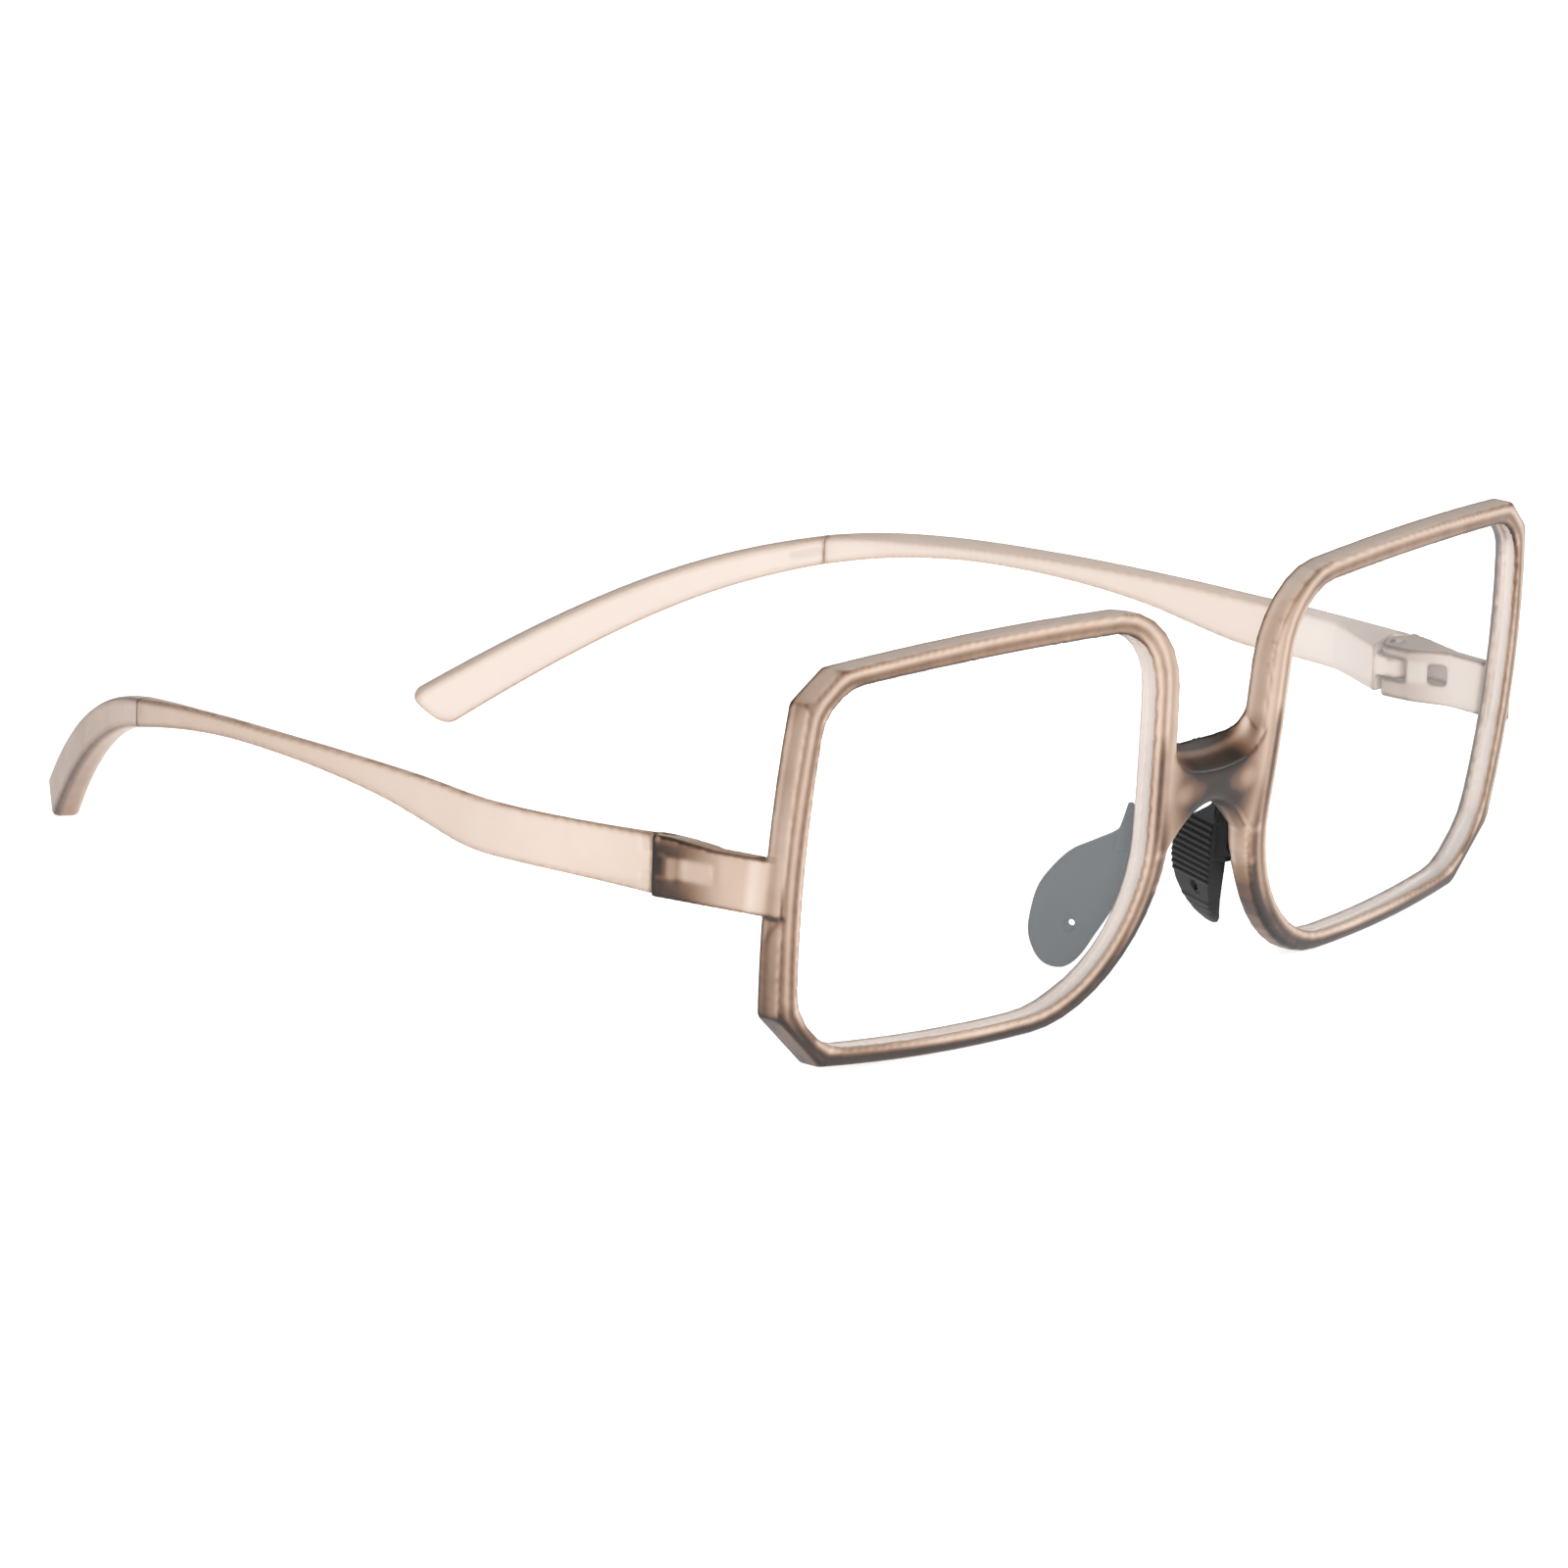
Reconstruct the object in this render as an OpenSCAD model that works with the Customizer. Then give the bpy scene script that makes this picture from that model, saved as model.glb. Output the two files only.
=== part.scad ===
// Billiard glasses with tall moulded rims, folding temples and soft nose pads.
// Lengths are in millimetres. The front looks towards -Y, the temples run to +Y and +Z is up.
// The open glasses stand on the rims' lower edges and on the two temple tips, at z = 0.

/* [Front frame] */
// Width across the outer sides of both rims
front_w = 143; // [132:0.1:156]
// Height of a rim, from its lowest to its highest point
rim_h = 52.5; // [44:0.1:58]
// Gap between the two rims at the nose
nose_gap = 14.6; // [13:0.1:20]
// Depth of a rim, from its front face to its back face
rim_d = 3.6; // [3:0.1:4.5]
// Width of the rim along the top
rim_top_w = 2.5; // [2.2:0.1:4]
// Width of the rim along the outer side
rim_side_w = 3.6; // [2.6:0.1:4.5]
// Width of the rim along the bottom
rim_low_w = 2.4; // [2.2:0.1:4]
// Width of the rim along the nose
rim_nose_w = 4.3; // [2.8:0.1:5]
// Size of the slanted cut at the top outer corner
top_cut = 3.7; // [1.5:0.1:6]
// Size of the slanted cut at the bottom outer corner
low_cut = 6.5; // [2:0.1:9]
// Radius of the top corner beside the nose
nose_top_r = 11; // [6:0.1:12]
// Radius of the long bottom curve beside the nose
nose_low_r = 20; // [12:0.1:21]
// Rise of the top edge in its middle
edge_bow = 1.5; // [0.4:0.1:2.5]
// Fall of the bottom edge in its middle
low_bow = 1.8; // [0.8:0.1:2.8]
// Swelling of the outer sides at half height
side_bow = 2.5; // [0:0.1:3]
// Radius of the curve that wraps the front round the face
wrap_r = 320; // [250:1:600]
// Radius of the front's upright curve
rise_r = 360; // [260:10:1200]
// Backward lean of the front, in degrees
lean = 5.9; // [2:0.1:9]

/* [Lenses] */
// Thickness of a lens
lens_t = 1.6; // [1:0.1:1.8]
// Depth of the groove that holds a lens in its rim
groove_d = 0.9; // [0.5:0.1:1.2]
// Play between a lens and its groove
lens_play = 0.06; // [0.03:0.01:0.15]

/* [Bridge] */
// Height of the bridge's front ridge above the rest plane
bridge_z = 29.5; // [24:0.1:34]
// Height of the bridge's front face in its middle
bridge_h = 4.6; // [3:0.1:8]
// Rise of the sloping saddle from the front ridge to the back edge
saddle_rise = 2.9; // [1:0.1:5]
// Depth of the bridge in its middle
bridge_d = 4.5; // [3.4:0.1:6]

/* [Hinges] */
// Height of the endpieces and of the temples' front ends
temple_h = 7.4; // [6.4:0.1:9]
// Height of the hinges' middle above the rest plane
hinge_z = 25.5; // [20:0.1:30]
// Distance from the front to the seam between endpiece and temple
seam_y = 29.4; // [24:0.1:34]
// Distance that the temple's outer face stands outside the rim, at the seam
seam_out = 2.7; // [2.2:0.1:5]
// Depth of the hinge pin inside the outer face
pin_in = 3.1; // [3.1:0.1:3.8]
// Diameter of the hinge pin
pin_d = 1.3; // [1:0.1:1.6]
// Radius of the hinge lugs and of the knuckle
lug_r = 1.9; // [1.6:0.1:2]
// Height of the slot between the two lugs
slot_h = 2.8; // [2:0.1:3.4]
// Running clearance between knuckle and lugs
hinge_play = 0.1; // [0.05:0.01:0.2]
// Thickness of an endpiece at its rim
end_t = 2; // [1.6:0.1:2.6]

/* [Temples] */
// Length of a temple from its seam back to the start of its tip
arm_len = 91; // [75:0.5:110]
// Thickness of a temple just behind its hinge
arm_front_t = 2.2; // [1.8:0.1:2.8]
// Thickness of a temple at its tip's seam
arm_back_t = 2.8; // [2.4:0.1:3.6]
// Height of a temple at its tip's seam
arm_back_h = 3.7; // [2.8:0.1:4.6]
// Outward bulge of a temple's side
arm_bulge = 2.4; // [0:0.1:4]
// Distance that the temple turns inward before its tip
arm_inset = 7.5; // [3:0.1:10]

/* [Temple tips] */
// Length of a tip, measured straight back
tip_len = 43.5; // [34:0.5:50]
// Distance that a tip curves inward
tip_in = 30.5; // [20:0.5:36]
// Height of a tip at its end
tip_h = 6.2; // [4.6:0.1:8]
// Thickness of a tip at its end
tip_t = 3.6; // [2.8:0.1:4.2]
// Diameter of the round core that a temple pushes into its tip
core_d = 1.2; // [1:0.1:1.6]
// Length of that core
core_len = 5; // [3:0.5:7]

/* [Nose pads] */
// Reach of a pad's wing behind the rim
pad_len = 11.5; // [9:0.1:13]
// Height of a pad
pad_h = 18; // [14:0.1:20]
// Thickness of a pad's wing
pad_t = 2.2; // [1.6:0.1:2.6]
// Angle between the two wings and straight back, in degrees
pad_splay = 24; // [10:1:30]
// Number of ribs on a pad's nose side
pad_ribs = 16; // [8:1:18]

/* [Hidden] */
$fn = 48;

frame_colour = [0.80, 0.71, 0.64, 0.9];
arm_colour = [0.86, 0.78, 0.71, 0.9];
lens_colour = [0.88, 0.93, 0.95, 0.35];
pad_colour = [0.16, 0.17, 0.18];
pin_colour = [0.75, 0.74, 0.72];

// Corners of one rim, seen from the front, before its edges are bowed
corner_out = 0.3;
outer_x = front_w / 2 - side_bow + corner_out;
inner_nose_x = nose_gap / 2;
top_z = rim_h - edge_bow;
// The bottom edge rises a little towards the outer corner
low_rise = 0.9;
low_z = low_bow - low_rise / 2;
half_w = (outer_x - inner_nose_x) / 2;
half_h = (top_z - low_z) / 2;
mid_x = inner_nose_x + half_w;
mid_z = low_z + half_h;
// The nose side leans, wider apart at the top
nose_lean = 3.1;
lean_up = nose_lean * 0.7;
lean_down = nose_lean * 0.3;
// The outer side leans too, by this much over its height
side_lean = 0.9;
ridge_r = 0.5;
inner_top_r = 5;
inner_low_r = 8;
// Difference of radius between a rim's outer and inner edge at the nose
nose_r_step = 3;
corner_n = 6;
ridge_n = 3;
nose_top_n = 7;
nose_low_n = 13;
edge_n = 7;

function mix(a, b, t) = a + (b - a) * t;

// Keeps a share between nothing and the whole
function share(t) = max(0, min(1, t));

// Points of a fillet of radius r at corner b of the path a, b, c
function fillet(a, b, c, r, n) =
    let (u = (a - b) / norm(a - b), v = (c - b) / norm(c - b),
         half = acos(u * v) / 2, reach = r / tan(half),
         centre = b + (u + v) / norm(u + v) * r / sin(half),
         p = b + u * reach - centre, q = b + v * reach - centre,
         sweep = 180 - 2 * half)
    [for (i = [0 : n - 1]) let (t = i / (n - 1))
        centre + (p * sin(sweep * (1 - t)) + q * sin(sweep * t)) / sin(sweep)];

// Points strictly between two points
function between(a, b, n) = [for (i = [1 : n]) mix(a, b, i / (n + 1))];

function last(list) = list[len(list) - 1];

// Bows the edges of the rim outwards in their middles
function bowed(p) =
    let (u = (p[0] - mid_x) / half_w, w = (p[1] - mid_z) / half_h)
    [p[0] + side_bow * max(0, 1 - w * w) * max(0, 1 + u) / 2,
     p[1] + (w > 0 ? edge_bow : low_bow) * max(0, 1 - u * u) * w];

// Joins four rounded corners, in order from the top at the nose, into one closed loop
function rim_loop(nt, ot, ol, nl) =
    [for (p = concat(nt, between(last(nt), ot[0], edge_n), ot, between(last(ot), ol[0], edge_n),
                     ol, between(last(ol), nl[0], edge_n), nl, between(last(nl), nt[0], edge_n)))
        bowed(p)];

o_nt = [inner_nose_x + lean_up, top_z];
o_ot1 = [outer_x - top_cut, top_z];
o_ot2 = [outer_x, top_z - top_cut * 0.9];
o_ol1 = [outer_x - side_lean, low_z + low_cut + low_rise];
o_ol2 = o_ol1 - [low_cut, low_cut];
o_nl = [inner_nose_x - lean_down, low_z];

outer_loop = rim_loop(
    fillet(o_nl, o_nt, o_ot1, nose_top_r, nose_top_n),
    concat(fillet(o_nt, o_ot1, o_ot2, ridge_r, ridge_n), fillet(o_ot1, o_ot2, o_ol1, ridge_r, ridge_n)),
    concat(fillet(o_ot2, o_ol1, o_ol2, ridge_r, ridge_n), fillet(o_ol1, o_ol2, o_nl, ridge_r, ridge_n)),
    fillet(o_ol2, o_nl, o_nt, nose_low_r, nose_low_n));

i_nt = o_nt + [rim_nose_w, -rim_top_w];
i_ot = [outer_x - rim_side_w + side_lean, top_z - rim_top_w];
i_ol = [outer_x - rim_side_w - 0.4, low_z + low_rise + rim_low_w];
i_nl = o_nl + [rim_nose_w, rim_low_w];

inner_loop = rim_loop(
    fillet(i_nl, i_nt, i_ot, nose_top_r - nose_r_step, nose_top_n),
    fillet(i_nt, i_ot, i_ol, inner_top_r, corner_n),
    fillet(i_ot, i_ol, i_nl, inner_low_r, corner_n),
    fillet(i_ol, i_nl, i_nt, nose_low_r - nose_r_step, nose_low_n));

// The front is part of a leaning ring surface, curved round the face and, less, from top to bottom.
// Height of the ring's middle plane, measured along its axis from the level of the rims' top
ring_z = (wrap_r * sin(lean) - rim_h / 2) / cos(lean);

// Distance back of a point of the front, d behind its front face
function front_y(x, z, d) =
    let (away = sqrt(pow(wrap_r - d, 2) - x * x),
         up = (z - rim_h + away * sin(lean)) / cos(lean) - ring_z,
         r = wrap_r - rise_r + sqrt(pow(rise_r - d, 2) - up * up))
    (wrap_r - sqrt(r * r - x * x)) / cos(lean) + (rim_h - z) * tan(lean);

// Depths of the groove's two walls
groove_front = 0.35 * (rim_d - lens_t) - lens_play;
groove_back = groove_front + lens_t + 2 * lens_play;
edge_r = 0.4;
// Place where the outer back chamfer grows, low at the nose, and the length over which it does
chamfer_x = 28;
chamfer_z = 20;
chamfer_fade = 8;
// Size of the inner back chamfer along the nose, place where it ends, and thickness of the lip it leaves
nose_chamfer = 1.3;
nose_end_x = 20;
lip_t = 0.25;

// Section of the rim, w wide: steps in from the outer edge, and depth; e and c are its back chamfers
function rim_section(w, e, c) = [
    [0, rim_d - e],
    [e, rim_d],
    [w - c, rim_d],
    [w, max(groove_back + lip_t, rim_d - c)],
    [w, groove_back],
    [w - groove_d, groove_back],
    [w - groove_d, groove_front],
    [w, groove_front],
    [w, min(0.55, groove_front - 0.1)],
    [w - 0.2, 0.24],
    [w - 0.7, 0.08],
    [w * 0.5, 0],
    [0.75, 0.05],
    [0.22, 0.22],
    [0, 0.7]];

// Faces of a tube of n rings of m points: closed in a ring, or capped at both ends
function ring_faces(n, m, closed) =
    [for (i = [0 : closed ? n - 1 : n - 2], j = [0 : m - 1])
        let (a = i * m + j, b = i * m + (j + 1) % m, k = ((i + 1) % n) * m)
        each [[a, k + (j + 1) % m, k + j], [a, b, k + (j + 1) % m]]];

module tube(rings, closed = false) {
    n = len(rings);
    m = len(rings[0]);
    caps = closed ? [] : [[for (j = [m - 1 : -1 : 0]) j], [for (j = [0 : m - 1]) (n - 1) * m + j]];
    polyhedron([for (r = rings) each r], concat(ring_faces(n, m, closed), caps));
}

function rim_ring(i) =
    let (o = outer_loop[i], p = inner_loop[i], w = norm(p - o),
         low_nose = share((chamfer_x - o[0]) / chamfer_fade) * share((chamfer_z - o[1]) / chamfer_fade),
         nose = share((nose_end_x - o[0]) / chamfer_fade))
    [for (s = rim_section(w, mix(edge_r, 3 * edge_r, low_nose), mix(edge_r, nose_chamfer, nose)))
        let (q = mix(o, p, s[0] / w)) [q[0], front_y(q[0], q[1], s[1]), q[1]]];

rim_rings = [for (i = [0 : len(outer_loop) - 1]) rim_ring(i)];

module rim() tube(rim_rings, true);

// A lens fills its rim's opening and reaches into the groove
lens_loop = [for (i = [0 : len(inner_loop) - 1])
    let (o = outer_loop[i], p = inner_loop[i]) mix(p, o, (groove_d - 2 * lens_play) / norm(o - p))];
lens_d = groove_front + lens_play;

module lens() {
    color(lens_colour)
    seat() intersection() {
        translate([0, wrap_r, 0])
        rotate([90, 0, 0])
        linear_extrude(wrap_r)
        polygon(lens_loop);
        translate([0, wrap_r / cos(lean), rim_h])
        rotate([lean, 0, 0])
        translate([0, 0, ring_z])
        rotate_extrude($fn = 360)
        lens_arc();
    }
}

// Upright section of the lens
module lens_arc() {
    intersection() {
        translate([wrap_r - rise_r, 0])
        difference() {
            circle(rise_r - lens_d, $fn = 720);
            circle(rise_r - lens_d - lens_t, $fn = 720);
        }
        translate([wrap_r - rim_h, -rim_h]) square([rim_h, 2 * rim_h]);
    }
}

// Half width that the bridge spans, so that it ends inside both rims
bridge_x = nose_gap / 2 + rim_nose_w * 0.45;
bridge_n = 12;

// Section of the bridge at x: a front face, a saddle that slopes up to the back, and an arch below
function bridge_section(x) =
    let (t = abs(x) / bridge_x,
         arch = bridge_z - bridge_h - bridge_x * 0.75 * t * t,
         ridge = bridge_z + 1.7 * t * t + 3 * pow(t, 8),
         back = ridge + saddle_rise * (1 - 0.35 * t * t),
         d = mix(bridge_d, rim_d, t * t))
    [for (p = [[0.6, arch], [0.1, arch + 0.8], [0, arch + 1.6], [0, ridge - 1.1], [0.15, ridge - 0.4],
               [0.7, ridge], [mix(0.7, d - 0.3, 0.45), mix(ridge, back, 0.35)],
               [mix(0.7, d - 0.3, 0.8), mix(ridge, back, 0.78)], [d - 0.4, back], [d, back - 0.6],
               [d, arch + 1], [d - 0.5, arch]])
        [x, front_y(x, p[1], 0) + p[0], p[1]]];

module bridge() tube([for (i = [-bridge_n : bridge_n]) bridge_section(bridge_x * i / bridge_n)]);

// Hinge places
seam_x = front_w / 2 + seam_out;
pin_x = seam_x - pin_in;
end_z = hinge_z - temple_h / 2;
// Play round the lugs when a temple turns
lug_play = 0.25;
skin_x = pin_x + lug_r + lug_play;
pin_fit = 0.04;
// The pin ends below the slanted top of its lug
pin_low = 0.8;
inner_x = pin_x - lug_r;
// Floor of the slot, behind the knuckle
slot_floor = 0.8;
slot_y = seam_y - lug_r - slot_floor;
pocket_len = 8.6;
pocket_h = slot_h - 0.3;
pocket_skin = 0.8;
pocket_y = seam_y - pocket_len;
// Length of the straight part beside the lugs, and inward slope of the rest
lug_side = 3;
end_slope = 1.4;
// Place where the endpiece leaves its rim
root_x = front_w / 2 - 0.2;
root_y = front_y(root_x, hinge_z, 0) + 0.5;
root_in = root_x - 1.3;
// An endpiece reaches a little lower than its temple, and less high at the rim
end_low = 0.2;
end_high = 0.7;
end_drop = 6;
// Slope of the endpiece's and the temple's top, down to the inner side
inner_drop = 0.2;
end_edge = 0.3;

// Endpiece: it carries the two hinge lugs, with a slot between them for the knuckle
module endpiece() {
    difference() {
        translate([0, 0, end_z - end_low])
        linear_extrude(temple_h + end_low)
        union() {
            polygon([[root_x, root_y], [seam_x, seam_y], [inner_x, seam_y], [inner_x, seam_y - lug_side],
                     [seam_x - end_t - end_slope, pocket_y], [root_in, root_y + rim_d], [root_in, root_y]]);
            translate([pin_x, seam_y]) circle(lug_r);
        }
        // The top drops from the hinge to the rim
        translate([0, pocket_y, end_z + temple_h - end_high])
        rotate([end_drop, 0, 0])
        cube([2 * seam_x, seam_y, temple_h]);
        translate([0, 0, end_z + temple_h - end_high]) cube([2 * seam_x, pocket_y + 0.1, temple_h]);
        translate([seam_x - end_edge, 0, end_z + temple_h])
        rotate([0, -atan(inner_drop), 0])
        translate([-seam_x, 0, 0])
        cube([2 * seam_x, 2 * seam_y, temple_h]);
        // Pocket in front of the slot, behind a thin outer skin; it runs into the slot but ends before the pin
        translate([seam_x, seam_y, hinge_z - pocket_h / 2])
        rotate([0, 0, atan2(seam_y - root_y, seam_x - root_x)])
        translate([-pocket_len, pocket_skin, 0]) cube([pocket_len - lug_r, pin_in - pocket_skin, pocket_h]);
        translate([0, slot_y, hinge_z - slot_h / 2])
        cube([skin_x, 2 * seam_y, slot_h]);
        translate([pin_x, seam_y, 0]) cylinder(d = pin_d + pin_fit, h = rim_h);
    }
}

// Nose pads: a foot with two pegs on the rim's back, and a wing that reaches back and down round a hole
pad_foot_x = nose_gap / 2 + 0.53 * rim_nose_w;
pad_foot_z = bridge_z - 0.63 * pad_h;
pad_foot_w = 1.8;
pad_foot_h = 0.39 * pad_h;
pad_foot_t = pad_t + 0.2;
pad_foot_gap = 0.08;
// Place and tilt of the wing's hole
pad_tilt = -4;
pad_out = 4.1;
pad_back = 0.575 * pad_len;
pad_hole_z = pad_foot_z - 0.46 * pad_h;
pad_hole = [nose_gap / 2 + pad_out, front_y(nose_gap / 2, pad_hole_z, rim_d) + pad_back, pad_hole_z];
module on_pad() translate(pad_hole) rotate([0, 0, 90 - pad_splay]) rotate([90 - pad_tilt, 0, 0]) children();

// Points of a smooth curve through a list of points, n for each span
function through(keys, n) =
    [for (i = [0 : len(keys) - 2], j = [0 : n - 1])
        let (a = keys[max(i - 1, 0)], b = keys[i], c = keys[i + 1], d = keys[min(i + 2, len(keys) - 1)],
             t = j / n)
        b + t * (c - a) / 2 + t * t * (a - 2.5 * b + 2 * c - d / 2)
            + t * t * t * (1.5 * b - a / 2 - 1.5 * c + d / 2)];

// Outline of the wing round its hole, as shares of its length and height, from the top down the front edge
wing_keys = [[-0.54, 0.68], [-0.55, 0.39], [-0.48, 0.18], [-0.28, -0.05], [-0.14, -0.2], [0.03, -0.275],
             [0.26, -0.25], [0.415, -0.14], [0.45, 0.01], [0.365, 0.256], [0.1, 0.464], [-0.16, 0.56],
             [-0.4, 0.64], [-0.5, 0.7]];
wing_outline = through([for (k = wing_keys) [k[0] * pad_len, k[1] * pad_h]], 4);
// The wing is flat above this height over its hole, and bends outwards below, less on its lens side
bend_y = 0.44 * pad_h;
bend_r = 1.08 * pad_h;
bend_back_r = 1.33 * pad_h;
peg_d = 1.2;
peg_len = 1.4;
peg_gap = 0.1;
peg_z = pad_foot_h * 0.3;
pad_hole_d = 1.7;
// Ribs: width, pitch, height, place of the lowest one and share of the outline that they cover
rib_w = 0.42;
rib_step = 2 * rib_w;
rib_h = 0.25;
rib_low = -0.217 * pad_h;
rib_share = 0.96;
// Slope of the bridge's back beside the rim
bridge_slope = 13;

// A sheet from depth z0 to z1, flat above and bent outwards below with two radii, as wide as a pad
module bent_sheet(z0, z1, r0, r1) {
    translate([-pad_len, bend_y, 0])
    rotate([90, 0, 90])
    linear_extrude(2 * pad_len)
    union() {
        translate([0, z0]) square([pad_h, z1 - z0]);
        intersection() {
            difference() {
                translate([0, z0 + r0]) circle(r0, $fn = 120);
                translate([0, z1 + r1]) circle(r1, $fn = 120);
            }
            translate([-pad_h, z0]) square(pad_h);
        }
    }
}

// Stands on the back face of the rim, at height z and x from the middle
module on_rim_back(x, z)
    translate([x, front_y(x, z, rim_d), z])
    rotate([lean + asin((rim_h / 2 - z) / rise_r), 0, 0])
    children();
module pegs(d, h)
    for (side = [-1, 1]) translate([0, 0, side * peg_z]) rotate([90, 0, 0]) cylinder(d = d, h = h);

module wing() {
    intersection() {
        bent_sheet(-pad_t / 2, pad_t / 2, bend_r, bend_back_r);
        translate([0, 0, -pad_h]) linear_extrude(2 * pad_h) polygon(wing_outline);
    }
    // Ribs cover the nose side, apart from a plain band round the hole
    intersection() {
        bent_sheet(-pad_t / 2 - rib_h, 0, bend_r + rib_h, bend_r);
        for (i = [0 : pad_ribs - 1])
            if (abs(rib_low + (i + 0.5) * rib_step) > pad_hole_d / 2 + rib_w)
                translate([-pad_len, rib_low + i * rib_step, -pad_h]) cube([2 * pad_len, rib_w, 2 * pad_h]);
        translate([0, 0, -pad_h]) linear_extrude(2 * pad_h) polygon([for (p = wing_outline) p * rib_share]);
    }
}

module pad() {
    color(pad_colour)
    seat() difference() {
        union() {
            on_pad() wing();
            on_rim_back(pad_foot_x, pad_foot_z)
            translate([-pad_foot_w / 2, pad_foot_gap, -pad_foot_h / 2])
            cube([pad_foot_w, pad_foot_t, pad_foot_h]);
        }
        on_pad() cylinder(d = pad_hole_d, h = 4 * pad_t, center = true);
        // Nothing of the wing lies in front of the rim's back face
        on_rim_back(pad_foot_x, pad_foot_z)
        translate([-pad_len, pad_foot_gap - pad_len, -pad_h]) cube([2 * pad_len, pad_len, 2 * pad_h]);
        // The wing also clears the deeper middle of the bridge
        on_rim_back(pad_foot_x, pad_foot_z)
        translate([bridge_x - pad_foot_x, pad_foot_gap, -pad_h])
        rotate([0, 0, -bridge_slope])
        translate([-pad_len, -pad_len, 0]) cube([pad_len, pad_len, 2 * pad_h]);
    }
    color(pad_colour)
    seat() on_rim_back(pad_foot_x, pad_foot_z)
    translate([0, pad_foot_t / 2, 0])
    pegs(peg_d, peg_len + pad_foot_t / 2);
}

// Holes for a pad's pegs in the back of the rim
module peg_holes()
    on_rim_back(pad_foot_x, pad_foot_z) translate([0, 1, 0]) pegs(peg_d + pin_fit, peg_len + 1 + peg_gap);

module half_front() {
    rim();
    endpiece();
}

module front_frame() {
    color(frame_colour)
    seat() difference() {
        union() {
            bridge();
            half_front();
            mirror([1, 0, 0]) half_front();
        }
        peg_holes();
        mirror([1, 0, 0]) peg_holes();
    }
}

// A value that runs smoothly through a list of [place, value] pairs
function smooth(keys, y) =
    let (n = len(keys), i = max([for (k = [0 : n - 2]) keys[k][0] <= y ? k : 0]),
         a = keys[max(i - 1, 0)], b = keys[i], c = keys[i + 1], d = keys[min(i + 2, n - 1)],
         w = c[0] - b[0], t = (y - b[0]) / w,
         mb = (c[1] - a[1]) / (c[0] - a[0]) * w, mc = (d[1] - b[1]) / (d[0] - b[0]) * w)
    b[1] * (1 + 2 * t) * pow(1 - t, 2) + mb * t * pow(1 - t, 2)
        + c[1] * t * t * (3 - 2 * t) + mc * t * t * (t - 1);

// Outer face of a temple in plan: it bulges behind the hinge, then turns inward
arm_end_y = seam_y + arm_len;
arm_side = [[0, 0], [0.18, 0.87], [0.27, 1], [0.4, 0.66], [0.55, 0.52], [0.77, 0.46], [0.93, 0.28], [1, 0]];
function arm_x(s) = seam_x + arm_bulge * smooth(arm_side, s) - arm_inset * pow(s, 3);
function arm_p(s) = [arm_x(s), seam_y + arm_len * s];
function arm_dir(s) = let (e = min(1, s + 0.005), d = arm_p(e) - arm_p(e - 0.01)) d / norm(d);

function curve(c, t) =
    pow(1 - t, 3) * c[0] + 3 * pow(1 - t, 2) * t * c[1] + 3 * (1 - t) * t * t * c[2] + pow(t, 3) * c[3];
function curve_dir(c, t) =
    let (d = pow(1 - t, 2) * (c[1] - c[0]) + 2 * (1 - t) * t * (c[2] - c[1]) + t * t * (c[3] - c[2]))
    d / norm(d);

// Top edge, height and thickness of a temple, by the share of its length
arm_top_z = hinge_z + temple_h / 2;
// Fall of the temple's top edge at its tip's seam
arm_fall = 1.3;
tip_z = arm_top_z - arm_fall - arm_back_h / 2;
arm_top = [[0, 0], [0.27, 0.05], [0.4, 0.6], [0.55, 0.9], [0.66, 0.9], [0.77, 0.75], [0.86, 0.35],
           [0.94, -0.4], [1, -arm_fall]];
arm_h = [[0, temple_h], [0.1, temple_h - 0.4], [0.2, temple_h - 0.6], [0.28, temple_h - 0.6],
         [0.33, temple_h - 0.9], [0.4, mix(temple_h, arm_back_h, 0.53)],
         [0.46, mix(temple_h, arm_back_h, 0.8)],
         [0.55, arm_back_h - 0.2], [0.66, arm_back_h - 0.9], [0.77, arm_back_h - 1.1],
         [0.86, arm_back_h - 0.8], [0.94, arm_back_h - 0.35], [1, arm_back_h]];
arm_t = [[0, arm_front_t], [0.45, arm_front_t - 0.1], [0.8, arm_back_t + 0.2], [1, arm_back_t]];

// Rounded section of height h and thickness t, from its outer face inwards; the inner top corner is lower
function bar_section(h, t, r, drop = 0) =
    [for (k = [[0, 1], [1, 1], [1, 0], [0, 0]], a = [0, 45, 90])
        let (turn = k == [0, 1] ? 180 - a : k == [1, 1] ? 90 - a : k == [1, 0] ? -a : 270 - a,
             z = mix(r - h / 2, h / 2 - r, k[1]) + r * sin(turn))
        [mix(r, t - r, k[0]) + r * cos(turn), z - drop * k[0] * k[1]]];

block_t = pin_in + lug_r;
block_y = seam_y + lug_r + lug_play;
// Shares of the temple's length where its hinge block begins and ends to thin out
block_full = 0.04;
block_end = 0.13;
bar_r = 0.55;
tip_bar_r = 0.8;
skin_t = 0.9;
knuckle_h = slot_h - 2 * hinge_play;
// Running clearance round the pin and push fit of the core, both across their diameters
knuckle_fit = 0.1;
core_fit = 0.06;

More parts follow.
